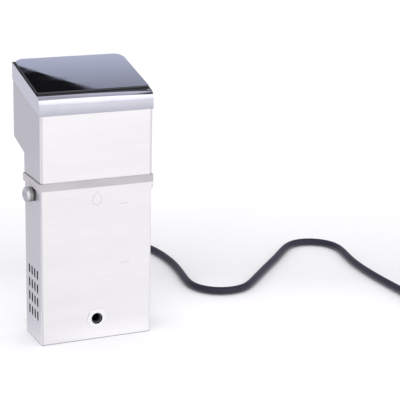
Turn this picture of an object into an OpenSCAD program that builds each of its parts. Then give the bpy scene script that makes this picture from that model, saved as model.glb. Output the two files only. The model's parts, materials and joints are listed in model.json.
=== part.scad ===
// Immersion circulator for low-temperature cooking: a sheet-steel body with a
// pump, a tubular heater and a sloping glass control top, that hangs on a pan's rim.
// Frame: +X to the right of the front, +Y to the rear, +Z up, origin at the middle
// of the lower casing's underside. Millimetres.

/* [Body] */
// Width of the casing and the head
body_w = 140; // [136:1:150]
// Depth of the lower casing
body_d = 60; // [60:1:64]
// Depth of the head
head_d = 100; // [98:1:106]
// Thickness of the casing's sheet steel
wall = 1.6; // [1.2:0.1:2]
// Radius of the lower casing's folded corners
corner_r = 2; // [1.6:0.2:3]

/* [Collar] */
// Height of the collar's upper edge above the base
collar_top = 200.5; // [200.5:0.5:204]
// Height of the collar's flat bar
collar_h = 9; // [8:0.5:10]
// How far the collar stands out from the casing
collar_proud = 2; // [1.5:0.5:3]

/* [Cap and glass] */
// Height of the cap's lower edge at the front
cap_bottom = 280.6; // [278:0.2:284]
// Height of the cap's top plane where it meets the front plane
cap_top = 301; // [300:0.5:304]
// Slope of the control top, in degrees
slope = 14.3; // [13:0.1:15]
// Thickness of the cap's polished sheet
cap_t = 0.85; // [0.7:0.05:1]
// Outside radius of the cap's front bend
bend_r = 11; // [9:0.5:11]
// Thickness of the glass
glass_t = 2.6; // [2:0.2:3]
// Radius of the glass's two rear corners
glass_r = 12; // [8:1:16]

/* [Casing openings] */
// Height of the outlet's centre
outlet_z = 26; // [24:1:30]
// Outside diameter of the outlet's ring
outlet_ring_d = 24; // [22:1:26]
// Diameter of the outlet's mouth
outlet_d = 14; // [12:1:15]
// Width of a side slot
slot_w = 4.8; // [3:0.2:5]
// Height of a side slot
slot_h = 12; // [8:1:13]
// Columns of side slots
slot_cols = 4; // [2:1:4]
// Rows of side slots
slot_rows = 4; // [2:1:4]

/* [Thumb knobs] */
// Diameter of a side thumb knob
knob_d = 18; // [16:0.5:18]
// Length of a side thumb knob
knob_len = 10.4; // [9:0.2:13]
// Height of the thumb knobs
knob_z = 182.2; // [181:0.2:182.2]
// Distance of the thumb knobs behind the front plane
knob_back = 28; // [22:1:30]

/* [Pan clamp] */
// How far the clamp's pad can move
clamp_travel = 12; // [8:1:12]
// Height of the clamp's screw
clamp_z = 165; // [162:1:170]

/* [Cord] */
// Diameter of the mains cord
cord_d = 10; // [9:1:10]
// Radius of the coil to the middle of its turns
coil_mid_r = 55; // [50:1:60]

/* [Hidden] */
$fn = 64;
SKIN = 0.1;          // clearance of a slip fit, on a radius or a side
RUN = 0.05;          // running clearance of a shaft, on a radius
EPS = 0.5;           // overshoot of a cutting solid

front_y = -body_d / 2;
back_y = body_d / 2;
head_back_y = front_y + head_d;
inner_w = body_w - 2 * wall;
inner_d = body_d - 2 * wall;
shadow_gap = 1;                          // open joint between the collar and the head
head_bottom = collar_top + shadow_gap;
overhang_low = 224.8;                    // where the overhang's underside meets the neck
overhang_rise = 11.7;                    // its rise to the head's rear corner
overhang_slope = atan(overhang_rise / (head_d - body_d));
head_lap = 9.4;                          // how far the head reaches up inside the cap
neck_bottom = 172;
neck_top = 222;
neck_t = 1.5;
deck_t = 3;
deck_top = neck_bottom + deck_t;

cap_front_y = front_y - cap_t;
cap_back_y = head_back_y + cap_t;
cap_w = body_w + 2 * cap_t;
cap_len = (cap_back_y - cap_front_y) / cos(slope);
deck_drop = 1;                           // depth of the cap's bed for the gasket
cap_deck = 2;                            // drop from the cap's top plane to the bed's underside
bed_start = 9.6;                         // the bed's front edge, along the slope
rim = 1;                                 // metal left beside the bed
gasket_rise = 0.6;                       // bead that lifts the glass
glass_inset = 1.6;                       // glass edge to the cap's side
glass_start = 11.4;
glass_end = cap_len + 0.6;

outlet_step_d = 10;
slot_pitch_y = 10.1;
slot_pitch_z = 17.2;
slot_first_y = -15.2;
slot_first_z = 33.2;

knob_y = front_y + knob_back;
washer_t = 2.2;
washer_d = 17;
stud_r = 3;
insert_len = 10;
screw_r = 1.5;

shaft_r = 3;
pump_r = 24;
pump_low = 10;
pump_high = 36;
chamber_r = 22;
motor_r = 24;
motor_low = 192;
motor_high = 240;
heater_r = 4;
heater_x = 52;
heater_in_x = 32;
heater_y = 12;
heater_bend_z = 40;
heater_turn_z = 150;
probe_x = 19;
probe_y = 19;

clamp_leg_y = back_y + 21;
clamp_leg_t = 3;
clamp_boss_y = clamp_leg_y + 6;
clamp_w = 36;
clamp_arm_z = collar_top - collar_h + 1.5;
clamp_screw_r = 4;
pad_t = 4;
rubber_t = 2.5;
pad_back_y = clamp_leg_y - 1;
clamp_knob_y = clamp_boss_y + clamp_travel + 0.5;
clamp_knob_len = 13;

cord_r = cord_d / 2;
cord_exit = [45, 62, 197];
coil_x = 490;
coil_y = -75;
coil_lift = 1;                           // the tie's strap lies under the coil
coil_h = 2 * cord_d;
plug_x = coil_x + coil_mid_r;
plug_start_y = -38;
plug_r = 17.5;
plug_boot = 26;
plug_body_len = 38;

// The cord's route on its middle line: down behind the body, over the surface that
// the body stands on, and up to the coil.
ROUTE = [
    [45, 62, 197], [45, 72, 162], [46, 72, 115], [48, 76, 72], [54, 88, 36],
    [66, 116, 10], [80, 155, 5], [91, 205, 5], [98, 250, 5], [104, 274, 5], [122, 292, 5],
    [146, 298, 5], [170, 292, 5], [188, 274, 5], [194, 250, 5], [196, 218, 5],
    [195, 186, 5], [190, 152, 5], [184, 122, 5], [181, 97, 5], [187, 76, 5], [202, 61, 5],
    [223, 55, 5], [244, 60, 5], [261, 74, 5], [296, 112, 5], [335, 151, 5], [358, 176, 5],
    [374, 194, 5], [392, 209, 5], [413, 213, 5], [433, 205, 5], [446, 189, 5],
    [450, 167, 5], [444, 140, 5], [436, 104, 5], [433, 63, 5], [433, 15, 5],
    [434, -30, 6], [435, -75, 6]
];

// ---------- shared shapes ----------

// Upright slab with round vertical corners, standing on z = 0.
module slab(w, d, h, r) {
    linear_extrude(h) {
        square([w - 2 * r, d], center = true);
        square([w, d - 2 * r], center = true);
        for (x = [-1, 1], y = [-1, 1])
            translate([x * (w / 2 - r), y * (d / 2 - r)]) circle(r);
    }
}

// Puts children on the control top: X across, Y up the slope, Z off the surface.
module on_slope() {
    translate([0, cap_front_y, cap_top]) rotate([slope, 0, 0]) children();
}

// Extrudes a side outline, drawn in Y and Z, to a width centred on x = 0.
module side_plate(w) {
    translate([-w / 2, 0, 0]) rotate([90, 0, 90]) linear_extrude(w) children();
}

// A cylinder along Y from y0 to y1.
module rod_y(r, y0, y1) {
    translate([0, y0, 0]) rotate([-90, 0, 0]) cylinder(r = r, h = y1 - y0);
}

// A button-head screw along Y: the head sits outside y = 0, the shank runs to -length.
module button_screw(length) {
    rod_y(screw_r, -length, 0);
    difference() {
        rod_y(3, 0, 1.8);
        rod_y(1.1, 0.8, 2.5, $fn = 6);
    }
}

// Puts children at the screws that hold the collar to the casing.
module at_collar_screws() {
    for (x = [-48, 48]) translate([x, back_y + collar_proud, collar_top - collar_h / 2]) children();
}

// Puts children at the screws that hold the head to the neck frame.
module at_neck_screws() {
    for (x = [-50, 50]) translate([x, back_y, 213]) children();
}

// Puts children at the screws that hold the cap to the head.
module at_cap_screws() {
    for (x = [-56, 56]) translate([x, cap_back_y, 311]) children();
}

// The hole that a screw's shank fills, cut from y = 0 inwards.
module screw_hole() {
    rod_y(screw_r, -6, EPS);
}

// A ring standing on z = 0.
module ring(r_out, r_in, h) {
    difference() {
        cylinder(r = r_out, h = h);
        translate([0, 0, -EPS]) cylinder(r = r_in, h = h + 2 * EPS);
    }
}

// ---------- casing ----------

module side_slots() {
    for (c = [0 : slot_cols - 1], s = [0 : slot_rows - 1])
        translate([0, slot_first_y + c * slot_pitch_y, slot_first_z + s * slot_pitch_z])
            rotate([0, 90, 0]) linear_extrude(body_w + 2, center = true) {
                square([slot_h - slot_w, slot_w], center = true);
                for (e = [-1, 1]) translate([e * (slot_h - slot_w) / 2, 0]) circle(slot_w / 2);
            }
}

module lower_casing() {
    color([0.78, 0.78, 0.8]) difference() {
        slab(body_w, body_d, collar_top - 0.5, corner_r);
        translate([0, 0, -EPS]) slab(inner_w, inner_d, collar_top + 1, 0.5);
        side_slots();
        translate([0, 0, outlet_z]) rod_y(outlet_ring_d / 2, front_y - EPS, front_y + wall + EPS);
        translate([0, knob_y, knob_z]) rotate([0, 90, 0])
            cylinder(r = stud_r + 0.3, h = body_w + 2, center = true);
        at_collar_screws() screw_hole();
    }
}

module bottom_plate() {
    intake_r = 1.8;
    pitch_x = 9;
    pitch_y = 10;
    color([0.7, 0.7, 0.72]) difference() {
        slab(inner_w, inner_d, 2, 0.5);
        for (x = [-5.5 : 5.5], y = [-1.5 : 1.5])
            translate([x * pitch_x, y * pitch_y, -EPS]) cylinder(r = intake_r, h = 3);
    }
}

module outlet_nozzle() {
    mouth_len = 3.6;
    nozzle_front = front_y - 0.6;
    color([0.85, 0.85, 0.87]) translate([0, 0, outlet_z]) difference() {
        union() {
            rod_y(outlet_ring_d / 2, nozzle_front, front_y + wall + 0.4);
            rod_y(10, front_y + wall, front_y + 6);
        }
        rod_y(outlet_d / 2, nozzle_front - EPS, nozzle_front + mouth_len);
        rod_y(5.8, front_y + 1, front_y + 7);
    }
}

module outlet_seal() {
    color([0.08, 0.08, 0.09]) translate([0, 0, outlet_z]) difference() {
        rod_y(5.8, front_y + 3, front_y + 6);
        rod_y(outlet_step_d / 2, front_y + 2, front_y + 7);
    }
}

module support_collar() {
    color([0.68, 0.67, 0.69]) difference() {
        translate([0, 0, collar_top - collar_h])
            slab(body_w + 2 * collar_proud, body_d + 2 * collar_proud, collar_h, corner_r + 0.6);
        translate([0, 0, collar_top - collar_h - EPS])
            slab(body_w + 0.2, body_d + 0.2, collar_h + 1, corner_r);
        at_collar_screws() screw_hole();
    }
}

module collar_screws() {
    color([0.6, 0.6, 0.62]) at_collar_screws() button_screw(collar_proud + wall);
}

module neck_frame() {
    color([0.45, 0.45, 0.47]) difference() {
        translate([0, 0, neck_bottom]) slab(inner_w, inner_d, neck_top - neck_bottom, 0.5);
        translate([0, 0, neck_bottom - EPS])
            slab(inner_w - 2 * neck_t, inner_d - 2 * neck_t, neck_top - neck_bottom + 1, 0.5);
        translate([0, knob_y, knob_z]) rotate([0, 90, 0])
            cylinder(r = 5.5, h = body_w, center = true);
        at_neck_screws() screw_hole();
    }
}

module deck_plate() {
    color([0.7, 0.7, 0.72]) difference() {
        translate([0, 0, neck_bottom])
            slab(inner_w - 2 * neck_t, inner_d - 2 * neck_t, deck_t, 0.5);
        translate([0, 0, neck_bottom - EPS]) {
            cylinder(r = 8, h = deck_t + 1);
            for (x = [-heater_x, heater_x], y = [-heater_y, heater_y])
                translate([x, y, 0]) cylinder(r = heater_r, h = deck_t + 1);
            for (p = [[probe_x, probe_y], [-probe_x, probe_y], [-probe_x, -probe_y]])
                translate([p[0], p[1], 0]) cylinder(r = 4.5, h = deck_t + 1);
            translate([-38, 0, 0]) cylinder(r = stud_r, h = deck_t + 1);
        }
    }
}

// ---------- head ----------

module head_shell() {
    top_front = cap_bottom + head_lap;
    inside_low = overhang_low + wall / cos(overhang_slope);
    side_back = head_back_y - wall;
    color([0.8, 0.8, 0.82]) difference() {
        side_plate(body_w) polygon([
            [front_y, head_bottom],
            [front_y, top_front],
            [head_back_y, top_front + head_d * tan(slope)],
            [head_back_y, overhang_low + overhang_rise],
            [back_y, overhang_low],
            [back_y, head_bottom]]);
        side_plate(inner_w) polygon([
            [front_y - 5, head_bottom - 5],
            [front_y - 5, 350],
            [side_back, 350],
            [side_back, inside_low + (side_back - back_y) * tan(overhang_slope)],
            [back_y - wall, inside_low - wall * tan(overhang_slope)],
            [back_y - wall, head_bottom - 5]]);
        for (i = [0 : 5], x = [-1, 1])
            translate([x * 27, head_back_y, 254 + i * 8]) rotate([90, 0, 0])
                linear_extrude(6, center = true) {
                    square([36, 3], center = true);
                    for (e = [-1, 1]) translate([e * 18, 0]) circle(1.5);
                }
        gland_place() translate([0, 0, -6]) cylinder(r = 8.5, h = 12);
        at_neck_screws() screw_hole();
        at_cap_screws() screw_hole();
    }
}

module head_front_panel() {
    color([0.88, 0.88, 0.9])
        translate([-inner_w / 2 + SKIN, front_y, collar_top - 0.4])
            cube([inner_w - 2 * SKIN, 1.5, cap_bottom + 8 - collar_top]);
}

module housing_screws() {
    color([0.6, 0.6, 0.62]) {
        at_neck_screws() button_screw(wall + neck_t);
        at_cap_screws() button_screw(cap_t + wall);
    }
}

// Side outline of the cap: the front stands at y0, the back at y1, and the top plane
// is dropped by drop at right angles to itself. The bend's radius is r.
module cap_outline(y0, y1, drop, r, low) {
    corner_z = cap_top + (y0 - cap_front_y) * tan(slope) - drop / cos(slope);
    centre = [y0 + r, corner_z + r * tan(slope) - r / cos(slope)];
    difference() {
        polygon([
            [y0, low],
            [y0, corner_z],
            [y1, corner_z + (y1 - y0) * tan(slope)],
            [y1, low + (y1 - y0) * tan(slope)]]);
        difference() {
            polygon([
                [y0 - 1, centre[1]],
                [y0 - 1, corner_z + 3],
                centre + 1.2 * r * [-sin(slope), cos(slope)],
                centre]);
            translate(centre) circle(r);
        }
    }
}

module top_cap() {
    color([0.85, 0.85, 0.88]) difference() {
        side_plate(cap_w) cap_outline(cap_front_y, cap_back_y, 0, bend_r, cap_bottom);
        side_plate(body_w)
            cap_outline(front_y, head_back_y, cap_deck, bend_r - cap_t, cap_bottom - 20);
        on_slope() {
            translate([-cap_w / 2 + rim, bed_start, -deck_drop])
                cube([cap_w - 2 * rim, cap_len - rim - bed_start, 10]);
            translate([-60, 17, -10]) cube([120, 79, 20]);
        }
        at_cap_screws() screw_hole();
    }
}

// Outline of the glass, drawn on the slope; grow moves its edge outwards.
module glass_outline(grow) {
    half = cap_w / 2 - glass_inset + grow;
    y0 = glass_start - grow;
    y1 = glass_end + grow;
    front_r = 1.5;
    back_r = glass_r + grow;
    translate([-half, y0 + front_r]) square([2 * half, y1 - back_r - y0 - front_r]);
    translate([-half + front_r, y0]) square([2 * (half - front_r), front_r]);
    translate([-half + back_r, y1 - back_r]) square([2 * (half - back_r), back_r]);
    for (s = [-1, 1]) {
        translate([s * (half - front_r), y0 + front_r]) circle(front_r);
        translate([s * (half - back_r), y1 - back_r]) circle(back_r);
    }
}

module glass_gasket() {
    color([0.05, 0.05, 0.06]) on_slope() difference() {
        union() {
            translate([-cap_w / 2 + rim, bed_start, -deck_drop])
                cube([cap_w - 2 * rim, cap_len - rim - bed_start, deck_drop]);
            linear_extrude(gasket_rise) glass_outline(-1);
        }
        translate([-58, 19, -5]) cube([116, 75, 10]);
    }
}

module glass_panel() {
    color([0.03, 0.03, 0.04]) on_slope()
        translate([0, 0, gasket_rise]) linear_extrude(glass_t) glass_outline(0);
}

module touch_board() {
    board_n = -4.6;
    color([0.05, 0.3, 0.15]) on_slope() {
        translate([-56, 21, board_n]) cube([112, 71, 1.6]);
        for (i = [-2 : 2]) translate([i * 22, 34, -3]) cylinder(r = 4, h = 3.6);
    }
}

module display_module() {
    color([0.12, 0.12, 0.13]) on_slope() translate([-32, 46, -3]) cube([64, 36, 3.4]);
}

module power_board() {
    color([0.05, 0.3, 0.15]) translate([-56, 61, 246]) cube([112, 1.6, 50]);
}

module board_components() {
    color([0.15, 0.2, 0.5]) {
        for (x = [-44, -30]) translate([x, 0, 262]) rod_y(6, 41, 61);
        for (x = [-10, 12]) translate([x - 9, 45, 252]) cube([18, 16, 15]);
        translate([-48, 49, 280]) cube([34, 12, 12]);
        translate([34, 49, 268]) cube([18, 12, 22]);
    }
}

module heat_sink() {
    color([0.6, 0.6, 0.62]) {
        translate([-8, 57, 272]) cube([36, 4, 22]);
        for (i = [0 : 5]) translate([-8 + i * 6.9, 43, 272]) cube([1.5, 14, 22]);
    }
}

module terminal_block() {
    color([0.85, 0.85, 0.8]) difference() {
        translate([-50, 36, 232]) cube([34, 12, 10]);
        for (i = [0 : 2]) translate([-43 + i * 10, 0, 237]) rod_y(2, 30, 50);
    }
}

module earth_stud() {
    color([0.75, 0.6, 0.25]) translate([-38, 0, deck_top]) {
        translate([0, 0, -deck_t]) cylinder(r = stud_r, h = deck_t + 15);
        for (z = [0, 7]) translate([0, 0, z]) cylinder(r = 5.2, h = 4.5, $fn = 6);
    }
}

module thermal_cutout() {
    color([0.2, 0.2, 0.2]) translate([38, 0, deck_top]) {
        cylinder(r = 8, h = 7);
        for (x = [-4, 4]) translate([x - 0.4, -3, 7]) cube([0.8, 6, 8]);
    }
}

// ---------- drive ----------

module motor_standoffs() {
    color([0.75, 0.75, 0.77]) for (a = [45 : 90 : 315]) rotate(a)
        translate([18, 0, deck_top]) cylinder(r = 3.5, h = motor_low - deck_top);
}

module motor_can() {
    color([0.3, 0.3, 0.32]) difference() {
        translate([0, 0, motor_low]) cylinder(r = motor_r, h = motor_high - motor_low);
        translate([0, 0, motor_low + 3]) cylinder(r = motor_r - 1.5, h = 60);
        translate([0, 0, motor_low - EPS]) cylinder(r = 5, h = 5);
    }
}

module motor_cover() {
    color([0.55, 0.55, 0.57]) translate([0, 0, motor_high]) difference() {
        cylinder(r = motor_r, h = 3);
        translate([0, 0, -EPS]) cylinder(r = 5, h = 4);
    }
}

module motor_stator() {
    color([0.4, 0.4, 0.42]) translate([0, 0, 204]) ring(motor_r - 1.5, 14, 24);
}

module motor_windings() {
    color([0.75, 0.4, 0.15]) for (z = [199.5, 228])
        translate([0, 0, z]) ring(21, 14.5, 4.5);
}

module motor_rotor() {
    color([0.5, 0.5, 0.52]) translate([0, 0, 203]) ring(13.5, shaft_r, 26);
}

module motor_bearings() {
    color([0.7, 0.7, 0.72]) for (z = [motor_low + 3, motor_high - 4.5])
        translate([0, 0, z]) ring(8, shaft_r + RUN, 4.5);
}

module drive_shaft() {
    color([0.8, 0.8, 0.82]) translate([0, 0, 15]) cylinder(r = shaft_r, h = 243);
}

module cooling_fan() {
    color([0.1, 0.1, 0.11]) translate([0, 0, 247]) {
        ring(7, shaft_r, 10);
        for (i = [0 : 6]) rotate(i * 360 / 7) translate([6.5, 0, 5]) rotate([35, 0, 0])
            translate([0, -0.8, -4]) cube([15.5, 1.6, 8]);
    }
}

module shaft_seal() {
    color([0.1, 0.1, 0.1]) translate([0, 0, neck_bottom - 1]) ring(8, shaft_r + RUN, deck_t + 3);
}

module shaft_tube() {
    color([0.75, 0.75, 0.77]) translate([0, 0, pump_high])
        ring(10, 8.8, neck_bottom - pump_high);
}

module shaft_bush() {
    color([0.9, 0.9, 0.88]) translate([0, 0, pump_high - 4]) ring(6, shaft_r + RUN, 8);
}

module pump_housing() {
    color([0.2, 0.2, 0.22]) difference() {
        union() {
            translate([0, 0, pump_low + 4]) cylinder(r = pump_r, h = pump_high - pump_low - 4);
            translate([0, 0, outlet_z]) rod_y(9, front_y + 6, -10);
        }
        translate([0, 0, pump_low]) cylinder(r = chamber_r, h = pump_high - pump_low - 4);
        translate([0, 0, pump_high - 6]) cylinder(r = 6, h = 10);
        translate([0, 0, outlet_z]) rod_y(outlet_step_d / 2, front_y + 5, -15);
    }
}

module pump_cover() {
    color([0.25, 0.25, 0.27]) difference() {
        translate([0, 0, pump_low]) cylinder(r = pump_r, h = 4);
        for (a = [0 : 60 : 300]) rotate(a) translate([6.5, 0, pump_low - EPS])
            cylinder(r = 1.9, h = 5);
        translate([0, 0, pump_low - EPS]) cylinder(r = 2, h = 5);
        for (a = [45 : 90 : 315]) rotate(a) translate([18, 0, pump_low - EPS])
            cylinder(r = 1.5, h = 5);
    }
}

module pump_screws() {
    color([0.6, 0.6, 0.62]) for (a = [45 : 90 : 315]) rotate(a) translate([18, 0, 0]) {
        translate([0, 0, pump_low]) cylinder(r = 1.5, h = 4);
        translate([0, 0, pump_low - 1.8]) cylinder(r = 2.8, h = 1.8);
    }
}

module impeller() {
    color([0.2, 0.2, 0.22]) translate([0, 0, 16]) difference() {
        union() {
            translate([0, 0, 12.5]) cylinder(r = 19.5, h = 1.5);
            cylinder(r = 6, h = 14);
            for (i = [0 : 5]) rotate(i * 60) translate([5, -0.8, 2]) cube([14, 1.6, 11]);
        }
        translate([0, 0, -EPS]) cylinder(r = shaft_r, h = 16);
    }
}

// ---------- heater and sensors ----------

// One heating tube: two hairpins joined by a turn at the top, ends up through the deck.
module heater(side) {
    bend_r = (heater_x - heater_in_x) / 2;
    mid_x = (heater_x + heater_in_x) / 2;
    leg = heater_turn_z - heater_bend_z;
    color([0.5, 0.45, 0.4]) for (y = [-heater_y, heater_y]) {
        translate([side * heater_x, y, heater_bend_z])
            cylinder(r = heater_r, h = deck_top + 6 - heater_bend_z);
        translate([side * heater_in_x, y, heater_bend_z]) cylinder(r = heater_r, h = leg);
        translate([side * mid_x, y, heater_bend_z]) rotate([-90, 0, 0])
            rotate_extrude(angle = 180) translate([bend_r, 0]) circle(heater_r);
    }
    color([0.5, 0.45, 0.4]) translate([side * heater_in_x, 0, heater_turn_z])
        rotate([90, 0, 90]) rotate_extrude(angle = 180) translate([heater_y, 0]) circle(heater_r);
}

module heater_left() { heater(-1); }
module heater_right() { heater(1); }

module heater_nuts() {
    color([0.75, 0.6, 0.25]) for (x = [-heater_x, heater_x], y = [-heater_y, heater_y])
        translate([x, y, deck_top]) difference() {
            cylinder(r = 7, h = 4, $fn = 6);
            translate([0, 0, -EPS]) cylinder(r = heater_r, h = 5);
        }
}

module temperature_probe() {
    color([0.8, 0.8, 0.82]) translate([probe_x, probe_y, 52]) {
        sphere(2.5);
        cylinder(r = 2.5, h = 136);
    }
}

module level_electrodes() {
    color([0.8, 0.8, 0.82]) {
        translate([-probe_x, probe_y, 94]) cylinder(r = 2, h = 94);
        translate([-probe_x, -probe_y, 160]) cylinder(r = 2, h = 28);
    }
}

module probe_bushings() {
    color([0.93, 0.93, 0.9]) {
        translate([probe_x, probe_y, neck_bottom - 2]) ring(4.5, 2.5, deck_t + 3);
        for (y = [-probe_y, probe_y])
            translate([-probe_x, y, neck_bottom - 2]) ring(4.5, 2, deck_t + 3);
    }
}

// ---------- side thumb knobs ----------

// Puts a knob's own axis, +Z outwards from the casing's side, on side s.
module knob_place(s) {
    translate([s * body_w / 2, knob_y, knob_z]) rotate([0, s * 90, 0]) children();
}

module thumb_knob(s) {
    dome_r = 15;
    waist = 0.7;
    tip = washer_t + knob_len;
    color([0.7, 0.69, 0.7]) knob_place(s) {
        translate([0, 0, -insert_len]) cylinder(r = stud_r, h = insert_len + 2.5);
        difference() {
            intersection() {
                translate([0, 0, washer_t]) cylinder(r = knob_d / 2, h = knob_len);
                translate([0, 0, tip - dome_r]) sphere(dome_r, $fn = 96);
            }
            translate([0, 0, washer_t + 1.6]) ring(knob_d, knob_d / 2 - waist, 0.8);
            translate([0, 0, tip - 0.9]) cylinder(r = 0.9, h = 2);
        }
    }
}

module thumb_knob_left() { thumb_knob(-1); }
module thumb_knob_right() { thumb_knob(1); }

module knob_washer(s) {
    color([0.05, 0.05, 0.05]) knob_place(s) ring(washer_d / 2, stud_r + SKIN, washer_t);
}

module knob_washer_left() { knob_washer(-1); }
module knob_washer_right() { knob_washer(1); }

module knob_inserts() {
    color([0.7, 0.65, 0.5]) for (s = [-1, 1]) knob_place(s)
        translate([0, 0, -wall - insert_len]) ring(5.5, stud_r + RUN, insert_len);
}

// ---------- pan clamp ----------

module clamp_bracket() {
    collar_back = back_y + collar_proud;
    color([0.7, 0.7, 0.72]) difference() {
        union() {
            translate([-clamp_w / 2, collar_back, clamp_arm_z])
                cube([clamp_w, clamp_leg_y + clamp_leg_t - collar_back, 3]);
            translate([-clamp_w / 2, clamp_leg_y, clamp_z - 6])
                cube([clamp_w, clamp_leg_t, clamp_arm_z + 3 - clamp_z + 6]);
            translate([0, 0, clamp_z]) rod_y(clamp_w / 2, clamp_leg_y, clamp_leg_y + clamp_leg_t);
            translate([0, 0, clamp_z]) rod_y(8, clamp_leg_y, clamp_boss_y);
            for (x = [-clamp_w / 2, clamp_w / 2 - 2])
                translate([x, collar_back, clamp_arm_z])
                    cube([2, clamp_leg_y + clamp_leg_t - collar_back, 7]);
        }
        translate([0, 0, clamp_z]) rod_y(clamp_screw_r + RUN, clamp_leg_y - 1, clamp_boss_y + 1);
    }
}

module clamp_screw() {
    color([0.75, 0.75, 0.77]) translate([0, 0, clamp_z])
        rod_y(clamp_screw_r, pad_back_y - 3, clamp_knob_y + 2);
}

module clamp_knob() {
    grip_r = 14;
    color([0.1, 0.1, 0.11]) translate([0, 0, clamp_z]) difference() {
        union() {
            rod_y(8, clamp_knob_y, clamp_knob_y + 4);
            rod_y(grip_r, clamp_knob_y + 3, clamp_knob_y + clamp_knob_len);
        }
        rod_y(clamp_screw_r, clamp_knob_y - 1, clamp_knob_y + 2);
        for (a = [0 : 45 : 315]) rotate([0, a, 0]) translate([grip_r + 2.2, 0, 0])
            rod_y(4, clamp_knob_y + 2, clamp_knob_y + clamp_knob_len + 1);
    }
}

module clamp_pad() {
    color([0.08, 0.08, 0.09]) translate([0, 0, clamp_z]) difference() {
        union() {
            rod_y(11, pad_back_y - pad_t - rubber_t, pad_back_y - pad_t);
            rod_y(9, pad_back_y - pad_t, pad_back_y);
        }
        rod_y(clamp_screw_r + RUN, pad_back_y - 3, pad_back_y + 1);
    }
}

// ---------- cord ----------

// Puts children at the cord's exit, with +Z running back into the head.
module gland_axis() {
    translate(cord_exit) rotate([overhang_slope, 0, 0]) children();
}

function exit_to_panel() =
    (overhang_low + (cord_exit[1] - back_y) * tan(overhang_slope) - cord_exit[2])
        * cos(overhang_slope);

// Puts children where the gland's axis meets the overhang's outside.
module gland_place() {
    gland_axis() translate([0, 0, exit_to_panel()]) children();
}

module cord_gland() {
    color([0.1, 0.1, 0.11]) gland_place() {
        translate([0, 0, -2]) cylinder(r = 11, h = 2);
        cylinder(r = 8.5, h = wall + 6);
        translate([0, 0, wall]) cylinder(r = 11, h = 4, $fn = 6);
    }
}

module strain_relief() {
    boot_len = exit_to_panel() - 2;
    rib_gap = 4.6;
    color([0.08, 0.08, 0.09]) gland_axis() difference() {
        rotate_extrude() polygon([
            [0, 0], [cord_r + 0.8, 0], [8, boot_len - 3], [8, boot_len], [0, boot_len]]);
        for (i = [0 : 4]) translate([0, 0, 4 + i * rib_gap])
            ring(12, cord_r + 1 + i * 0.3, 1.6);
    }
}

// A smooth curve along the route, a cubic B-spline that starts and ends on its end points.
function along(p, i, t) =
    let (
        b = p[i],
        c = p[i + 1],
        a = i > 0 ? p[i - 1] : 2 * b - c,
        d = i + 2 < len(p) ? p[i + 2] : 2 * c - b,
        s = 1 - t)
    (s * s * s * a + (3 * t * t * t - 6 * t * t + 4) * b
        + (3 * s * s * s - 6 * s * s + 4) * c + t * t * t * d) / 6;

function unit(v) = v / norm(v);

// Keeps a point of the cord's middle line from sinking into the surface below it.
function laid(p) = [p[0], p[1], max(p[2], cord_r)];

// Rings of a tube: one round each point of the line, upright where the line is level.
function rings(line, r, sides) = [
    for (i = [0 : len(line) - 1])
        let (
            ahead = unit(line[min(i + 1, len(line) - 1)] - line[max(i - 1, 0)]),
            across = unit(cross(ahead, [0.08, -0.35, 1])),
            up = cross(across, ahead))
        for (k = [0 : sides - 1])
            line[i] + r * cos(360 * k / sides) * across + r * sin(360 * k / sides) * up];

// A closed tube along a line.
module tube(line, r, sides) {
    last = len(line) - 1;
    polyhedron(
        points = rings(line, r, sides),
        faces = concat(
            [[for (k = [sides - 1 : -1 : 0]) k]],
            [[for (k = [0 : sides - 1]) last * sides + k]],
            [for (i = [0 : last - 1], k = [0 : sides - 1])
                [i * sides + k, i * sides + (k + 1) % sides,
                    (i + 1) * sides + (k + 1) % sides, (i + 1) * sides + k]]));
}

module power_cord() {
    steps = 2;
    line = concat(
        [for (i = [0 : len(ROUTE) - 2], s = [0 : steps - 1]) laid(along(ROUTE, i, s / steps))],
        [ROUTE[len(ROUTE) - 1]]);
    color([0.1, 0.1, 0.11]) tube(line, cord_r, 10);
}

module cord_coil() {
    color([0.1, 0.1, 0.11]) translate([coil_x, coil_y, coil_lift])
        ring(coil_mid_r + cord_r, coil_mid_r - cord_r, coil_h);
}

module cord_tie() {
    strap_t = 1;
    strap_w = 12;
    slack = 0.5;
    inner = coil_mid_r - cord_r - slack;
    color([0.15, 0.15, 0.16]) translate([coil_x, coil_y, 0]) rotate(-50) difference() {
        translate([inner - strap_t, -strap_w / 2, 0])
            cube([cord_d + 2 * (strap_t + slack), strap_w, coil_h + 2 * strap_t]);
        translate([inner, -strap_w, coil_lift]) cube([cord_d + 2 * slack, 2 * strap_w, coil_h]);
    }
}

module plug_body() {
    color([0.1, 0.1, 0.11]) translate([plug_x, plug_start_y, plug_r]) rotate([-90, 0, 0])
        difference() {
            rotate_extrude() polygon([
                [0, 0], [cord_r + 1, 0], [8.5, plug_boot - 4], [10, plug_boot],
                [plug_r - 1.5, plug_boot + 6], [plug_r, plug_boot + 9],
                [plug_r, plug_boot + plug_body_len], [0, plug_boot + plug_body_len]]);
            for (s = [-1, 1]) translate([s * plug_r, 0, plug_boot + plug_body_len - 12])
                cube([4, 8, 40], center = true);
        }
}

module plug_pins() {
    face_y = plug_start_y + plug_boot + plug_body_len;
    color([0.8, 0.78, 0.7]) translate([plug_x, face_y, plug_r]) {
        for (s = [-1, 1]) translate([s * 9.5, 0, 0]) {
            rod_y(2.4, 0, 17);
            translate([0, 17, 0]) sphere(2.4);
        }
    }
}

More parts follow.
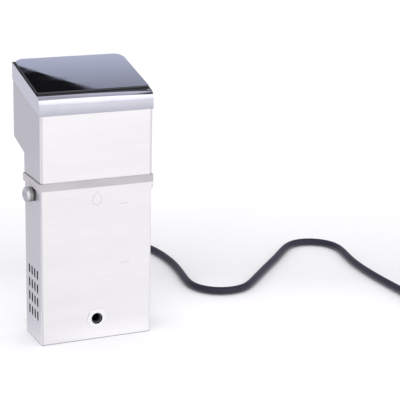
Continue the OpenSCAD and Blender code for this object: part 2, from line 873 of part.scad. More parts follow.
lower_casing();
bottom_plate();
outlet_nozzle();
outlet_seal();
support_collar();
collar_screws();
neck_frame();
deck_plate();
head_shell();
head_front_panel();
housing_screws();
top_cap();
glass_gasket();
glass_panel();
touch_board();
display_module();
power_board();
board_components();
heat_sink();
terminal_block();
earth_stud();
thermal_cutout();
motor_standoffs();
motor_can();
motor_cover();
motor_stator();
motor_windings();
motor_rotor();
motor_bearings();
drive_shaft();
cooling_fan();
shaft_seal();
shaft_tube();
pump_housing();
pump_cover();
pump_screws();
impeller();
shaft_bush();
heater_left();
heater_right();
heater_nuts();
temperature_probe();
level_electrodes();
probe_bushings();
thumb_knob_left();
thumb_knob_right();
knob_washer_left();
knob_washer_right();
knob_inserts();
clamp_bracket();
clamp_screw();
clamp_knob();
clamp_pad();
cord_gland();
strain_relief();
power_cord();
cord_coil();
plug_body();
plug_pins();
cord_tie();
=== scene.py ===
"""Looks for the immersion circulator: finishes, cord, etched marks and a white studio."""
import json
import math

import bmesh
import bpy
from mathutils import Matrix, Vector


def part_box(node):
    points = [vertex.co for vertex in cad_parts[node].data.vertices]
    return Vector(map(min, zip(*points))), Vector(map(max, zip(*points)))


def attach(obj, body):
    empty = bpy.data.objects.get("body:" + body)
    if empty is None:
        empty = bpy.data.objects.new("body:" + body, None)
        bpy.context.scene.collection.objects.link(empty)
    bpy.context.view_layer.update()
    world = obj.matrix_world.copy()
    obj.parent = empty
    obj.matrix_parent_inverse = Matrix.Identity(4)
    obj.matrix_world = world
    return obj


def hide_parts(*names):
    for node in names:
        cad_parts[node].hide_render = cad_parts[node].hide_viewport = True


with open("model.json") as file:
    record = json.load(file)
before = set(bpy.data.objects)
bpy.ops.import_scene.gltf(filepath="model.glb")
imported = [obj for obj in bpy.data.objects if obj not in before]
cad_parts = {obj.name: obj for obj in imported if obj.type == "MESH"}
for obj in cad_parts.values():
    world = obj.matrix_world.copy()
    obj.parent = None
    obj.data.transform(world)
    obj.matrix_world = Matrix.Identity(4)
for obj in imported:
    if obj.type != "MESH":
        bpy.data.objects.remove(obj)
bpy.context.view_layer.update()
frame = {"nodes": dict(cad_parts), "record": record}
NODES = frame["nodes"]
SLOT_OF = {part["node"]: part["material_slot"] for part in frame["record"]["subparts"]}

# ---------- places taken from the frame ----------

casing_low, casing_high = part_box("lower_casing")
FRONT_Y = casing_low.y
BACK_Y = casing_high.y
HALF_W = casing_high.x
CASING_TOP = casing_high.z
CAP_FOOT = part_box("top_cap")[0].z
WASHER_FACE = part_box("knob_washer_right")[1].x

# ---------- values used in several places ----------

GLASS_SLOPE = 14.3  # degrees from level
MARK_RISE = 0.00004  # how far the etched marks stand proud, in metres
FRONTWARD = (0, -1, 0)
BLACK = (0, 0, 0)
WHITE = (1.0, 1.0, 1.0)
FLOOR_WHITE = (0.90, 0.90, 0.915)
BRIGHTEST = 4.0  # the level that stands for full white in a light curve

# ---------- the cord's route, as in the CAD source ----------

CORD_D = 0.010
CORD_R = CORD_D / 2
ROUTE = [
    (0.045, 0.062, 0.197), (0.045, 0.072, 0.162), (0.046, 0.072, 0.115), (0.048, 0.076, 0.072),
    (0.054, 0.088, 0.036), (0.066, 0.116, 0.010), (0.080, 0.155, 0.005), (0.091, 0.205, 0.005),
    (0.098, 0.250, 0.005), (0.104, 0.274, 0.005), (0.122, 0.292, 0.005), (0.146, 0.298, 0.005),
    (0.170, 0.292, 0.005), (0.188, 0.274, 0.005), (0.194, 0.250, 0.005), (0.196, 0.218, 0.005),
    (0.195, 0.186, 0.005), (0.190, 0.152, 0.005), (0.184, 0.122, 0.005), (0.181, 0.097, 0.005),
    (0.187, 0.076, 0.005), (0.202, 0.061, 0.005), (0.223, 0.055, 0.005), (0.244, 0.060, 0.005),
    (0.261, 0.074, 0.005), (0.296, 0.112, 0.005), (0.335, 0.151, 0.005), (0.358, 0.176, 0.005),
    (0.374, 0.194, 0.005), (0.392, 0.209, 0.005), (0.413, 0.213, 0.005), (0.433, 0.205, 0.005),
    (0.446, 0.189, 0.005), (0.450, 0.167, 0.005), (0.444, 0.140, 0.005), (0.436, 0.104, 0.005),
    (0.433, 0.063, 0.005), (0.433, 0.015, 0.005), (0.434, -0.030, 0.006), (0.435, -0.075, 0.006),
]
COIL_CENTRE = (0.490, -0.075)
COIL_R = 0.055
COIL_TURNS = 1.5
CLIMB_START = 0.75
ROUTE_STEPS = 8
COIL_STEPS = 64
PLUG_BOOT = (0.545, -0.038, 0.0175)


def along(points, i, t):
    """A point of the cubic B-spline along points, on stretch i, at t from 0 to 1."""
    b, c = Vector(points[i]), Vector(points[i + 1])
    a = Vector(points[i - 1]) if i > 0 else 2 * b - c
    d = Vector(points[i + 2]) if i + 2 < len(points) else 2 * c - b
    s = 1 - t
    return (s ** 3 * a + (3 * t ** 3 - 6 * t ** 2 + 4) * b
            + (3 * s ** 3 - 6 * s ** 2 + 4) * c + t ** 3 * d) / 6


def route_line(steps):
    """The route as the CAD tube has it: smooth, and never sinking into the surface."""
    line = [along(ROUTE, i, s / steps) for i in range(len(ROUTE) - 1) for s in range(steps)]
    return [Vector((p.x, p.y, max(p.z, CORD_R))) for p in line]


def coil_line(steps):
    """The coil: it lies on the surface, and climbs onto itself before its first turn closes."""
    low = ROUTE[-1][2]
    line = []
    for k in range(int(steps * COIL_TURNS) + 1):
        turn = k / steps
        angle = math.pi + 2 * math.pi * turn
        rise = min(max((turn - CLIMB_START) / (1 - CLIMB_START), 0), 1)
        lift = CORD_D * rise * rise * (3 - 2 * rise)
        line.append(Vector((COIL_CENTRE[0] + COIL_R * math.cos(angle),
                            COIL_CENTRE[1] + COIL_R * math.sin(angle), low + lift)))
    return line


def lead_in(start, end, steps):
    """The short rise from the coil's last turn into the plug's boot."""
    line = []
    for k in range(1, steps + 1):
        t = k / steps
        ease = t * t * (3 - 2 * t)
        line.append(Vector((start.x, start.y + (end[1] - start.y) * t,
                            start.z + (end[2] - start.z) * ease)))
    return line


def length_of(line):
    """The length of a line of points."""
    return sum((b - a).length for a, b in zip(line, line[1:]))


def make_cord():
    """The cord's curve, from the strain relief to the plug, and its length.

    Each point carries the cord's radius, so the bevel depth is 1.
    """
    line = route_line(ROUTE_STEPS) + coil_line(COIL_STEPS)
    line += lead_in(line[-1], PLUG_BOOT, ROUTE_STEPS)
    data = bpy.data.curves.new("mains_cord", "CURVE")
    data.dimensions = "3D"
    data.bevel_depth = 1
    data.bevel_resolution = 6
    data.use_fill_caps = True
    spline = data.splines.new("POLY")
    spline.points.add(len(line) - 1)
    for point, place in zip(spline.points, line):
        point.co = (*place, 1)
        point.radius = CORD_R
    spline.use_smooth = True
    cord = bpy.data.objects.new("mains_cord", data)
    bpy.context.scene.collection.objects.link(cord)
    return cord, length_of(line)


# ---------- camera ----------

CAMERA_PLACE = (-0.5819, -1.5848, 0.6500)
CAMERA_YAW = 24.73
CAMERA_PITCH = 15.92
CAMERA_ROLL = 1.21
CAMERA_LENS = 130.93
CAMERA_SENSOR = 36


def make_camera():
    """A long lens, turned right by the yaw, down by the pitch, and tipped by the roll."""
    yaw, pitch, roll = (math.radians(a) for a in (CAMERA_YAW, CAMERA_PITCH, CAMERA_ROLL))
    forward = Vector((math.sin(yaw) * math.cos(pitch), math.cos(yaw) * math.cos(pitch),
                      -math.sin(pitch)))
    level = Vector((math.cos(yaw), -math.sin(yaw), 0))
    upright = level.cross(forward)
    right = level * math.cos(roll) + upright * math.sin(roll)
    up = upright * math.cos(roll) - level * math.sin(roll)
    data = bpy.data.cameras.new("camera")
    data.lens = CAMERA_LENS
    data.sensor_width = CAMERA_SENSOR
    data.dof.use_dof = False
    camera = bpy.data.objects.new("camera", data)
    bpy.context.scene.collection.objects.link(camera)
    camera.matrix_world = (Matrix.Translation(CAMERA_PLACE)
                           @ Matrix((right, up, -forward)).transposed().to_4x4())
    bpy.context.scene.camera = camera


make_camera()
mains_cord, cord_length = make_cord()
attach(mains_cord, "housing")
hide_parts("power_cord", "cord_coil")


# ---------- nodes ----------

class Nodes:
    """Short ways to add nodes to a tree and to join them."""

    def __init__(self, tree):
        self.tree = tree

    def add(self, kind, inputs=None, **settings):
        """Adds a node; an input given a socket is linked to it, and any other is set."""
        node = self.tree.nodes.new(kind)
        for name, value in settings.items():
            setattr(node, name, value)
        for name, value in (inputs or {}).items():
            if isinstance(value, bpy.types.NodeSocket):
                self.tree.links.new(value, node.inputs[name])
            else:
                node.inputs[name].default_value = value
        return node

    def place(self):
        """The place on the object, in metres."""
        return self.add("ShaderNodeTexCoord").outputs["Object"]

    def axes(self):
        """The place on the object along X, Y and Z, in metres."""
        return self.add("ShaderNodeSeparateXYZ", {0: self.place()}).outputs

    def calc(self, operation, a, b=0.0):
        """One step of arithmetic, named as Blender's Math node names it."""
        return self.add("ShaderNodeMath", {0: a, 1: b}, operation=operation).outputs[0]

    def times(self, a, b):
        """One value times another."""
        return self.calc("MULTIPLY", a, b)

    def scale(self, colour, level):
        """A colour made brighter or darker by level."""
        return self.add("ShaderNodeVectorMath", {0: colour, 1: level},
                        operation="MULTIPLY").outputs[0]

    def along(self, place, way):
        """How far a place lies along a direction."""
        return self.add("ShaderNodeVectorMath", {0: place, 1: way},
                        operation="DOT_PRODUCT").outputs["Value"]

    def remap(self, value, source, target):
        """Maps value from one (low, high) range to another, and stops at its ends."""
        names = ("From Min", "From Max", "To Min", "To Max")
        inputs = dict(zip(names, (*source, *target)))
        return self.add("ShaderNodeMapRange", {"Value": value, **inputs}).outputs["Result"]

    def mix(self, share, low, high):
        """Blends two colours, each a socket or red, green and blue."""
        low, high = (c if isinstance(c, bpy.types.NodeSocket) else (*c, 1) for c in (low, high))
        return self.add("ShaderNodeMix", {0: share, 6: low, 7: high}, data_type="RGBA").outputs[2]

    def steps(self, value, stops):
        """A curve of value through (place, level) stops, with levels up to BRIGHTEST."""
        ramp = self.add("ShaderNodeValToRGB", {"Fac": value})
        points = ramp.color_ramp.elements
        while len(points) < len(stops):
            points.new(1)
        for point, (place, level) in zip(points, stops):
            point.position = place
            point.color = (*[level / BRIGHTEST] * 3, 1)
        return self.times(ramp.outputs["Color"], BRIGHTEST)


class Paint(Nodes):
    """A material under construction, with its Principled shader."""

    def __init__(self, name, colour, roughness, metallic=0.0):
        self.material = bpy.data.materials.new(name)
        self.material.use_nodes = True
        super().__init__(self.material.node_tree)
        self.shader = self.tree.nodes["Principled BSDF"]
        self.colour = colour
        self.give("Base Color", (*colour, 1))
        self.give("Roughness", roughness)
        self.give("Metallic", metallic)
        self.relief = None

    def give(self, name, value):
        """Sets an input of the shader, or links it if value is a socket."""
        if isinstance(value, bpy.types.NodeSocket):
            self.tree.links.new(value, self.shader.inputs[name])
        else:
            self.shader.inputs[name].default_value = value

    def noise(self, stretch, detail=3.0, roughness=0.5):
        """Noise from 0 to 1; stretch gives its cells per metre along X, Y and Z."""
        place = self.add("ShaderNodeMapping", {"Vector": self.place(), "Scale": stretch}).outputs[0]
        return self.add("ShaderNodeTexNoise", {
            "Vector": place, "Scale": 1.0, "Detail": detail, "Roughness": roughness,
        }).outputs["Fac"]

    def shade(self, value, low, high, source=(0.3, 0.7)):
        """Varies the colour from low to high times itself as value goes through source."""
        share = self.remap(value, source, (0, 1))
        self.give("Base Color", self.mix(share, [c * low for c in self.colour],
                                         [min(c * high, 1) for c in self.colour]))

    def facing(self, way, limits):
        """How far the surface faces that way: 0 to 1 as the cosine goes through limits."""
        normal = self.add("ShaderNodeNewGeometry").outputs["Normal"]
        return self.remap(self.along(normal, way), limits, (0, 1))

    def front(self):
        """1 on faces that look forward, and 0 on the others."""
        return self.facing(FRONTWARD, (0.5, 0.8))

    def cover(self, share, colour):
        """Lays colour over what is there, as far as share goes from 0 to 1."""
        links = self.shader.inputs["Base Color"].links
        below = links[0].from_socket if links else self.colour
        self.give("Base Color", self.mix(share, below, colour))

    def vary(self, value, low, high):
        """Varies the roughness from low to high."""
        self.give("Roughness", self.remap(value, (0.3, 0.7), (low, high)))

    def bump(self, value, depth, strength=0.5):
        """Adds relief of that depth, in metres, on top of what is there."""
        inputs = {"Height": value, "Distance": depth, "Strength": strength}
        if self.relief:
            inputs["Normal"] = self.relief
        self.relief = self.add("ShaderNodeBump", inputs).outputs[0]
        self.give("Normal", self.relief)


# ---------- finishes ----------

def brushed(name, colour, roughness, fine, broad, depth=8e-6, anisotropy=0.5):
    """Brushed steel: fine and broad are its streaks' cells per metre along X, Y and Z."""
    paint = Paint(name, colour, roughness, 1.0)
    streaks = paint.noise(fine, 4.0, 0.65)
    clouds = paint.noise(broad, 2.0)
    both = paint.calc("ADD", paint.times(streaks, 0.55), paint.times(clouds, 0.45))
    paint.shade(both, 0.95, 1.03, (0.35, 0.65))
    paint.vary(streaks, roughness - 0.05, roughness + 0.08)
    paint.bump(streaks, depth, 0.4)
    paint.give("Anisotropic", anisotropy)
    tangent = paint.add("ShaderNodeTangent", direction_type="RADIAL", axis="Z")
    paint.give("Tangent", tangent.outputs[0])
    return paint


def painted_fold_shade(paint, width):
    """Greys the front along its upright folds with painted shade, the left one more than the right.
    """
    x = paint.axes()["X"]
    limits = (HALF_W - width - 0.0003, HALF_W - width)
    left = paint.remap(paint.times(x, -1.0), limits, (0, 0.9))
    right = paint.remap(x, limits, (0, 0.45))
    fold = paint.calc("ADD", left, right)
    paint.cover(paint.times(fold, paint.front()), (0.69, 0.68, 0.70))


def inside_casing(paint, x, y, z):
    """1 on the inner faces of the lower casing, and 0 on its outside and its folds."""
    margin = 0.005
    inside = paint.calc("LESS_THAN", paint.calc("ABSOLUTE", x), HALF_W - 0.0001)
    for share in (paint.calc("GREATER_THAN", y, FRONT_Y + margin),
                  paint.calc("LESS_THAN", y, BACK_Y - margin),
                  paint.calc("LESS_THAN", z, CASING_TOP)):
        inside = paint.times(inside, share)
    return inside


def casing_steel():
    """Brushed outside. Painted shade makes it dull and near black inside, a painted floor
    reflection makes the front paler near its foot, a painted contact shadow darkens the foot edge,
    and a painted highlight pales the sides next to the front.
    """
    paint = brushed("casing_steel", (0.82, 0.803, 0.818), 0.36,
                    fine=(14, 14, 1100), broad=(5, 5, 26))
    x, y, z = paint.axes()
    inside = inside_casing(paint, x, y, z)
    # painted reflection of the bright floor: the front is paler near its foot
    foot_floor_reflection = paint.remap(z, (0.006, 0.024), (0.9, 0))
    paint.cover(paint.times(foot_floor_reflection, paint.front()), (0.89, 0.875, 0.89))
    # painted shade along the front's upright folds
    painted_fold_shade(paint, width=0.0022)
    # painted highlight: a paler strip down the side faces next to the front
    side_highlight_strip = paint.remap(y, (FRONT_Y + 0.0020, FRONT_Y + 0.0028), (0.8, 0))
    for way in (-1, 1):
        side = paint.facing((way, 0, 0), (0.7, 0.9))
        paint.cover(paint.times(side_highlight_strip, side), (1.0, 0.985, 1.0))
    # painted contact shadow: a dark edge along the foot
    foot_contact_shadow = paint.remap(z, (0.0007, 0.0011), (0.8, 0))
    paint.cover(foot_contact_shadow, (0.30, 0.29, 0.33))
    # painted shade: the inner faces are painted near black and made non-metallic
    paint.cover(inside, (0.02, 0.02, 0.026))
    paint.give("Metallic", paint.calc("SUBTRACT", 1.0, inside))
    return paint


def panel_steel():
    """Brushed, with wider strips of painted shade beside its folds than the casing has."""
    paint = brushed("panel_steel", (0.85, 0.832, 0.848), 0.34,
                    fine=(14, 14, 1300), broad=(5, 5, 30))
    # painted shade along the front's upright folds
    painted_fold_shade(paint, width=0.0034)
    return paint


def cap_steel():
    """Polished steel, with painted reflections: darker towards its lower edge and paler on its
    sides.
    """
    paint = Paint("cap_steel", (0.62, 0.62, 0.69), 0.07, 1.0)
    haze = paint.noise((60, 60, 60), 4.0)
    paint.shade(haze, 0.96, 1.03)
    z = paint.axes()["Z"]
    # painted reflection: darker towards the lower edge
    reflection_fade = paint.remap(z, (CAP_FOOT + 0.0010, CAP_FOOT + 0.0100), (0.75, 0))
    paint.cover(reflection_fade, (0.42, 0.42, 0.49))
    # painted reflection: paler on the sides
    for way in (-1, 1):
        paint.cover(paint.facing((way, 0, 0), (0.6, 0.9)), (0.90, 0.90, 0.97))
    paint.vary(haze, 0.06, 0.11)
    paint.bump(paint.noise((900, 30, 900), 2.0), 2e-6, 0.3)
    return paint


def nozzle_steel():
    """Turned steel, bright on its front face, with painted shade grey round its rim and dark in its
    bore.
    """
    paint = Paint("nozzle_steel", (0.86, 0.85, 0.88), 0.16, 1.0)
    turned = paint.noise((1500, 40, 1500), 2.0)
    paint.shade(turned, 0.93, 1.04)
    paint.vary(turned, 0.13, 0.22)
    paint.bump(turned, 4e-6)
    y = paint.axes()["Y"]
    # painted shade: grey round the rim
    rim = paint.remap(y, (FRONT_Y - 0.0004, FRONT_Y - 0.0002), (0, 1))
    # painted shade: dark in the bore
    bore = paint.remap(y, (FRONT_Y + 0.0002, FRONT_Y + 0.0008), (0, 1))
    paint.cover(rim, (0.42, 0.41, 0.45))
    paint.cover(bore, (0.13, 0.13, 0.14))
    return paint


def collar_steel():
    """Blasted steel, with a painted highlight that makes its left side a little paler."""
    paint = Paint("collar_steel", (0.475, 0.454, 0.478), 0.52, 0.25)
    grit = paint.noise((1600, 1600, 1600), 3.0)
    paint.shade(paint.noise((30, 30, 60), 3.0), 0.94, 1.05)
    # painted highlight: the left side is paler
    paint.cover(paint.facing((-1, 0, 0), (0.7, 0.9)), (0.53, 0.508, 0.54))
    paint.vary(grit, 0.42, 0.56)
    paint.bump(grit, 1.5e-5, 0.35)
    return paint


def etched_steel():
    """The matt grey of the etched marks."""
    paint = Paint("etched_steel", (0.66, 0.65, 0.68), 0.55, 1.0)
    grit = paint.noise((2600, 2600, 2600), 3.0)
    paint.shade(grit, 0.90, 1.08)
    paint.vary(grit, 0.48, 0.62)
    return paint


def knob_steel():
    """Turned steel, with rings round the X axis, and a painted reflection that darkens it next to
    the washer.
    """
    paint = Paint("knob_steel", (0.72, 0.71, 0.735), 0.24, 1.0)
    rings = paint.noise((1700, 60, 60), 3.0)
    clouds = paint.noise((90, 240, 240), 3.0)
    paint.shade(clouds, 0.82, 1.06)
    # painted reflection of the washer: darker next to it
    outward = paint.calc("ABSOLUTE", paint.axes()["X"])
    washer_reflection = paint.remap(outward, (WASHER_FACE + 0.0035, WASHER_FACE + 0.0048), (0.85, 0))
    paint.cover(washer_reflection, (0.34, 0.33, 0.33))
    paint.vary(rings, 0.18, 0.34)
    paint.bump(rings, 1e-5, 0.4)
    return paint


def plain_steel(name, colour, roughness, cells):
    """Any plain metal, mottled; cells is how many spots it has per metre."""
    paint = Paint(name, colour, roughness, 1.0)
    mottle = paint.noise((cells, cells, cells), 4.0)
    paint.shade(mottle, 0.88, 1.06)
    paint.vary(mottle, roughness - 0.06, roughness + 0.08)
    return paint


def inner_steel():
    paint = plain_steel("inner_steel", (0.60, 0.60, 0.62), 0.38, 180)
    paint.bump(paint.noise((20, 20, 900), 2.0), 6e-6)
    return paint


def screw_steel():
    paint = plain_steel("screw_steel", (0.66, 0.66, 0.68), 0.26, 700)
    paint.bump(paint.noise((1400, 1400, 1400), 2.0), 4e-6)
    return paint


def core_steel():
    """A stack of thin laminations."""
    paint = plain_steel("core_steel", (0.35, 0.35, 0.37), 0.45, 260)
    paint.bump(paint.noise((5, 5, 2000), 1.0), 3e-5)
    return paint


def heater_steel():
    """A heat-tinted sheath, browner near its lower turn."""
    paint = plain_steel("heater_steel", (0.45, 0.42, 0.40), 0.33, 320)
    z = paint.axes()["Z"]
    wander = paint.times(paint.noise((40, 40, 40), 2.0), 0.05)
    tint = paint.remap(paint.calc("ADD", z, wander), (0.05, 0.15), (0, 1))
    paint.give("Base Color", paint.mix(tint, (0.34, 0.26, 0.18), (0.50, 0.48, 0.46)))
    return paint


def motor_paint():
    """Dark enamel with a slight orange peel."""
    paint = Paint("motor_paint", (0.10, 0.10, 0.11), 0.42, 0.0)
    peel = paint.noise((420, 420, 420), 2.0)
    paint.shade(peel, 0.85, 1.15)
    paint.bump(peel, 3e-5)
    return paint


def aluminium():
    paint = plain_steel("aluminium", (0.72, 0.72, 0.74), 0.40, 420)
    paint.bump(paint.noise((800, 800, 800), 3.0), 1.2e-5)
    return paint


def copper():
    """Enamelled wire wound round the motor's axis."""
    paint = plain_steel("copper", (0.72, 0.38, 0.16), 0.28, 200)
    paint.bump(paint.noise((30, 30, 1500), 1.0), 1e-4, 0.8)
    return paint


def brass():
    paint = plain_steel("brass", (0.78, 0.60, 0.28), 0.27, 500)
    paint.bump(paint.noise((1200, 1200, 200), 2.0), 5e-6)
    return paint


def pin_metal():
    paint = plain_steel("pin_metal", (0.80, 0.78, 0.70), 0.22, 600)
    paint.bump(paint.noise((200, 1600, 200), 2.0), 5e-6)
    return paint


def control_glass():
    """Black-backed glass; its ground edge, where the surface turns away, is paler."""
    black, ground = (0.002, 0.002, 0.003), (0.03, 0.031, 0.037)
    paint = Paint("control_glass", black, 0.03)
    slope = math.radians(GLASS_SLOPE)
    flat = paint.facing((0, -math.sin(slope), math.cos(slope)), (0.75, 0.97))
    smear = paint.noise((35, 60, 60), 3.0)
    paint.give("Base Color", paint.mix(flat, ground, black))
    rough = paint.remap(smear, (0.35, 0.75), (0.015, 0.05))
    paint.give("Roughness", paint.add("ShaderNodeMix", {0: flat, 2: 0.35, 3: rough}).outputs[0])
    paint.give("IOR", 1.5)
    return paint


def soft(name, colour, roughness, cells, depth, sheen=0.0):
    """Rubber or plastic with a fine grain and slightly uneven colour."""
    paint = Paint(name, colour, roughness)
    grain = paint.noise((cells, cells, cells), 3.0)
    paint.shade(paint.noise((25, 25, 25), 3.0), 0.88, 1.14)
    paint.vary(grain, roughness - 0.06, roughness + 0.08)
    paint.bump(grain, depth, 0.4)
    paint.give("Sheen Weight", sheen)
    return paint


def black_rubber():
    return soft("black_rubber", (0.022, 0.022, 0.026), 0.62, 1500, 2e-5, sheen=0.05)


def cord_rubber():
    paint = soft("cord_rubber", (0.015, 0.015, 0.032), 0.48, 1200, 3e-5, sheen=0.03)
    paint.give("Specular IOR Level", 0.35)
    paint.bump(paint.noise((160, 160, 160), 2.0), 2e-4, 0.15)
    return paint


def plug_plastic():
    return soft("plug_plastic", (0.032, 0.031, 0.037), 0.50, 1100, 3e-5, sheen=0.1)


def black_plastic():
    return soft("black_plastic", (0.028, 0.028, 0.031), 0.46, 1300, 3e-5)


def pump_plastic():
    paint = soft("pump_plastic", (0.012, 0.012, 0.014), 0.60, 700, 5e-5)
    paint.give("Specular IOR Level", 0.15)
    return paint


def white_plastic():
    return soft("white_plastic", (0.82, 0.82, 0.79), 0.38, 500, 2e-5)


def terminal_plastic():
    return soft("terminal_plastic", (0.80, 0.80, 0.73), 0.42, 600, 2e-5)


def circuit_board():
    """Green solder mask over fine tracks."""
    paint = Paint("circuit_board", (0.03, 0.20, 0.09), 0.30)
    tracks = paint.add("ShaderNodeTexBrick", {
        "Vector": paint.place(), "Scale": 120.0, "Color1": (*BLACK, 1), "Color2": (*WHITE, 1),
        "Mortar": (0.5, 0.5, 0.5, 1), "Mortar Size": 0.03}).outputs["Color"]
    paint.shade(tracks, 0.75, 1.35, (0, 1))
    paint.bump(tracks, 4e-5)
    return paint


def components():
    """Moulded cases whose colour changes from one to the next across the board."""
    paint = Paint("components", (0.08, 0.10, 0.22), 0.33)
    share = paint.remap(paint.axes()["X"], (-0.021, -0.019), (0, 1))
    paint.give("Base Color", paint.mix(share, (0.05, 0.06, 0.16), (0.55, 0.42, 0.06)))
    paint.bump(paint.noise((700, 700, 700), 2.0), 2e-5)
    return paint


def tie_fabric():
    """Hook-and-loop strap: a fuzz of short loops."""
    paint = Paint("tie_fabric", (0.05, 0.05, 0.055), 0.85)
    loops = paint.noise((1800, 1800, 1800), 4.0, 0.7)
    paint.shade(loops, 0.6, 1.5)
    paint.bump(loops, 3e-4, 0.9)
    paint.give("Sheen Weight", 0.5)
    return paint


FINISHES = {make.__name__: make for make in (
    casing_steel, panel_steel, cap_steel, nozzle_steel, collar_steel, knob_steel, inner_steel,
    screw_steel, core_steel, heater_steel, motor_paint, aluminium, copper, brass, pin_metal,
    control_glass, black_rubber, cord_rubber, plug_plastic, black_plastic, pump_plastic,
    white_plastic, terminal_plastic, circuit_board, components, tie_fabric)}


def dress(piece, material):
    """Gives a piece one material all over."""
    piece.data.materials.clear()
    piece.data.materials.append(material)


def dress_nodes():
    """Makes every finish, puts each on the CAD nodes of its slot, and gives them by slot."""
    made = {slot: make().material for slot, make in FINISHES.items()}
    for name, node in NODES.items():
        for slot in node.material_slots:
            slot.material = made[SLOT_OF[name]]
    return made


def round_edges(name, width, angle=40):
    """Rounds a CAD node's sharp edges, so that they catch the light as folded steel does."""
    node = NODES[name]
    weld = node.modifiers.new("weld", "WELD")
    weld.merge_threshold = 1e-5
    flat = node.modifiers.new("flat", "DECIMATE")
    flat.decimate_type = "DISSOLVE"
    flat.angle_limit = math.radians(1)
    bevel = node.modifiers.new("bevel", "BEVEL")
    bevel.width = width
    bevel.segments = 2
    bevel.limit_method = "ANGLE"
    bevel.angle_limit = math.radians(angle)
    bevel.harden_normals = True
    bevel.use_clamp_overlap = True


# ---------- etched marks ----------

def ribbon(name, line, width, closed, material):
    """A thin flat band along a line of (x, z) points on the front, standing just proud."""
    mesh = bpy.data.meshes.new(name)
    made = bmesh.new()
    count = len(line)
    pairs = []
    for i, (x, z) in enumerate(line):
        a = line[i - 1] if closed or i > 0 else line[i]
        b = line[(i + 1) % count] if closed or i < count - 1 else line[i]
        ahead = Vector((b[0] - a[0], b[1] - a[1])).normalized()
        side = Vector((-ahead.y, ahead.x)) * width / 2
        pairs.append([made.verts.new((x + s * side.x, FRONT_Y - MARK_RISE, z + s * side.y))
                      for s in (-1, 1)])
    for i in range(count if closed else count - 1):
        j = (i + 1) % count
        made.faces.new((pairs[i][0], pairs[j][0], pairs[j][1], pairs[i][1]))
    bmesh.ops.recalc_face_normals(made, faces=made.faces)
    if sum(face.normal.y for face in made.faces) > 0:
        bmesh.ops.reverse_faces(made, faces=made.faces)
    made.to_mesh(mesh)
    made.free()
    piece = bpy.data.objects.new(name, mesh)
    bpy.context.scene.collection.objects.link(piece)
    solid = piece.modifiers.new("depth", "SOLIDIFY")
    solid.thickness = 2 * MARK_RISE
    dress(piece, material)
    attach(piece, "housing")
    return piece


def drop_outline(middle, radius, height, steps):
    """A water drop: a round foot that draws in to a point, height above the foot's middle."""
    tangent = math.acos(radius / height)
    start = math.pi / 2 - tangent
    sweep = 2 * math.pi - 2 * tangent
    line = [(middle[0] + radius * math.cos(start - sweep * k / steps),
             middle[1] + radius * math.sin(start - sweep * k / steps)) for k in range(steps + 1)]
    return line + [(middle[0], middle[1] + height)]


# ---------- studio ----------

FLOOR_SIZE = 24
FLOOR_Z = -0.0002
# colour of the painted soft shadow band on the table
FLOOR_SHADOW_GREY = (0.77, 0.765, 0.795)
REARWARD = (0.418, 0.908, 0)
NEAR_RIGHT = (0.55, -0.83, 0)
BRIGHT_SIDE = (0.42, -0.91, 0)
FLOOR_LEVELS = [(0.04, 0.585), (0.33, 0.665), (0.80, 0.68), (0.945, 1.07)]
FRONT_LEVELS = [(0.0, 1.35), (0.88, 1.85), (0.93, 0.55), (1.0, 0.50)]
REAR_LEVELS = [(0.0, 0.62), (0.50, 0.60), (0.60, 0.03), (0.70, 0.03),
               (0.76, 0.72), (0.93, 0.68), (1.0, 0.50)]
ROOM_WHITE = (1.16, 1.15, 1.16)


def make_floor():
    """A white table, a little greyer behind where a soft shadow is painted on; reflections see it
    glow, less at the rear left.
    """
    bpy.ops.mesh.primitive_plane_add(size=FLOOR_SIZE)
    floor = bpy.context.object
    floor.name = "floor"
    floor.location.z = FLOOR_Z
    paint = Paint("floor", FLOOR_WHITE, 0.7)
    paint.give("Specular IOR Level", 0.1)
    place = paint.place()
    behind = paint.along(place, REARWARD)
    # painted soft shadow: a grey band across the table a little behind
    band = paint.times(paint.remap(behind, (0.08, 0.22), (0, 1)),
                       paint.remap(behind, (0.26, 0.75), (1, 0)))
    seen = paint.mix(band, FLOOR_WHITE, FLOOR_SHADOW_GREY)
    toward = paint.along(place, NEAR_RIGHT)
    level = paint.steps(paint.remap(toward, (-1.0, 0.1), (0, 1)), FLOOR_LEVELS)
    near = paint.remap(toward, (-0.12, 0.04), (0, 1))
    tint = paint.mix(near, (1.0, 0.998, 1.09), (1.0, 1.0, 1.01))
    mirrored = paint.scale(tint, level)
    glossy = paint.add("ShaderNodeLightPath").outputs["Is Glossy Ray"]
    paint.give("Base Color", paint.mix(glossy, seen, BLACK))
    paint.give("Emission Color", mirrored)
    paint.give("Emission Strength", glossy)
    dress(floor, paint.material)


def make_world():
    """White all round; reflections see a bright front right and a dim rear with a dark band."""
    world = bpy.data.worlds.new("studio")
    bpy.context.scene.world = world
    world.use_nodes = True
    nodes = Nodes(world.node_tree)
    direction = nodes.add("ShaderNodeTexCoord").outputs["Generated"]
    up = nodes.add("ShaderNodeSeparateXYZ", {0: direction}).outputs["Z"]
    toward = nodes.along(direction, BRIGHT_SIDE)
    front = nodes.steps(up, FRONT_LEVELS)
    rear = nodes.steps(up, REAR_LEVELS)
    side = nodes.remap(toward, (0.48, 0.62), (0, 1))
    rear = nodes.times(rear, nodes.remap(toward, (0.0, 0.5), (1.15, 0.75)))
    level = nodes.add("ShaderNodeMix", {0: side, 2: rear, 3: front}).outputs[0]
    tint = nodes.mix(side, (0.94, 0.95, 1.06), (1.0, 0.99, 1.0))
    mirrored = nodes.scale(tint, level)
    path = nodes.add("ShaderNodeLightPath")
    colour = nodes.mix(path.outputs["Is Glossy Ray"], ROOM_WHITE, mirrored)
    colour = nodes.mix(path.outputs["Is Camera Ray"], colour, WHITE)
    nodes.tree.links.new(colour, nodes.tree.nodes["Background"].inputs["Color"])


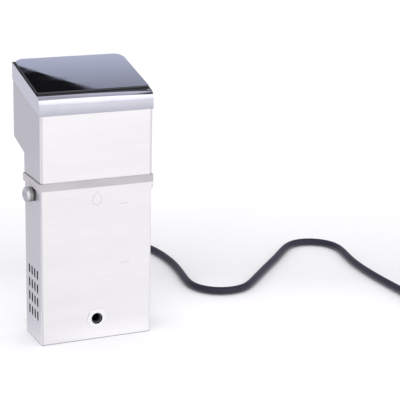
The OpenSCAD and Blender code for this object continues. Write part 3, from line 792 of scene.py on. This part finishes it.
GLASS_LIGHT_Y = 1.0
GLASS_LIGHT_OUTLINE = [(-0.20, 0.896), (1.50, 1.627), (1.50, 0.30), (-0.20, 0.30)]
GLASS_LIGHT_COLOUR = (0.72, 0.76, 1.0)


def glow_through(name, colour, heights, levels):
    """A material that glows by its height and hides nothing behind it."""
    material = bpy.data.materials.new(name)
    material.use_nodes = True
    nodes = Nodes(material.node_tree)
    nodes.tree.nodes.remove(nodes.tree.nodes["Principled BSDF"])
    level = nodes.remap(nodes.axes()["Z"], heights, levels)
    glow = nodes.add("ShaderNodeEmission", {"Color": (*colour, 1), "Strength": level})
    clear = nodes.add("ShaderNodeBsdfTransparent")
    both = nodes.add("ShaderNodeAddShader", {0: glow.outputs[0], 1: clear.outputs[0]})
    nodes.tree.links.new(both.outputs[0], nodes.tree.nodes["Material Output"].inputs["Surface"])
    return material


def make_glass_light():
    """A tall light behind, cut off along a slope, that only the control glass reflects."""
    mesh = bpy.data.meshes.new("glass_light")
    mesh.from_pydata([(x, GLASS_LIGHT_Y, z) for x, z in GLASS_LIGHT_OUTLINE], [], [(0, 1, 2, 3)])
    light = bpy.data.objects.new("glass_light", mesh)
    bpy.context.scene.collection.objects.link(light)
    material = glow_through("glass_light", GLASS_LIGHT_COLOUR, (1.09, 1.20), (4.5, 2.45))
    reached = bpy.data.collections.new("glass_light_reach")
    reached.objects.link(NODES["glass_panel"])
    light.light_linking.receiver_collection = reached
    dress(light, material)
    light.visible_camera = False
    light.visible_diffuse = False
    light.visible_shadow = False


def make_softbox(name, place, target, size, power):
    """A rectangular light at a place, turned toward its target."""
    data = bpy.data.lights.new(name, "AREA")
    data.shape = "RECTANGLE"
    data.size, data.size_y = size
    data.energy = power
    light = bpy.data.objects.new(name, data)
    bpy.context.scene.collection.objects.link(light)
    turn = (Vector(target) - Vector(place)).to_track_quat("-Z", "Y")
    light.matrix_world = Matrix.Translation(place) @ turn.to_matrix().to_4x4()
    light.visible_camera = False


# ---------- putting it together ----------

EDGE_WIDTHS = {
    "lower_casing": 0.0002, "head_shell": 0.0004, "head_front_panel": 0.0003,
    "support_collar": 0.0005, "top_cap": 0.00025, "glass_panel": 0.0004,
    "outlet_nozzle": 0.0004, "clamp_bracket": 0.0004,
}

finished = dress_nodes()
etched = etched_steel().material
dress(mains_cord, finished["cord_rubber"])

for name, width in EDGE_WIDTHS.items():
    round_edges(name, width)

drop = drop_outline(middle=(0, 0.1752), radius=0.0062, height=0.0104, steps=32)
ribbon("drop_mark", drop, 0.0010, True, etched)
ribbon("upper_level_mark", [(0.0295, 0.168), (0.040, 0.168)], 0.0009, False, etched)
ribbon("lower_level_mark", [(0.0300, 0.0937), (0.042, 0.0937)], 0.0009, False, etched)

make_floor()
make_world()
make_glass_light()
make_softbox("key_light", place=(-1.1, -1.5, 1.7), target=(0, 0, 0.2), size=(1.2, 1.2), power=9.0)
bpy.context.scene.view_settings.view_transform = "Standard"
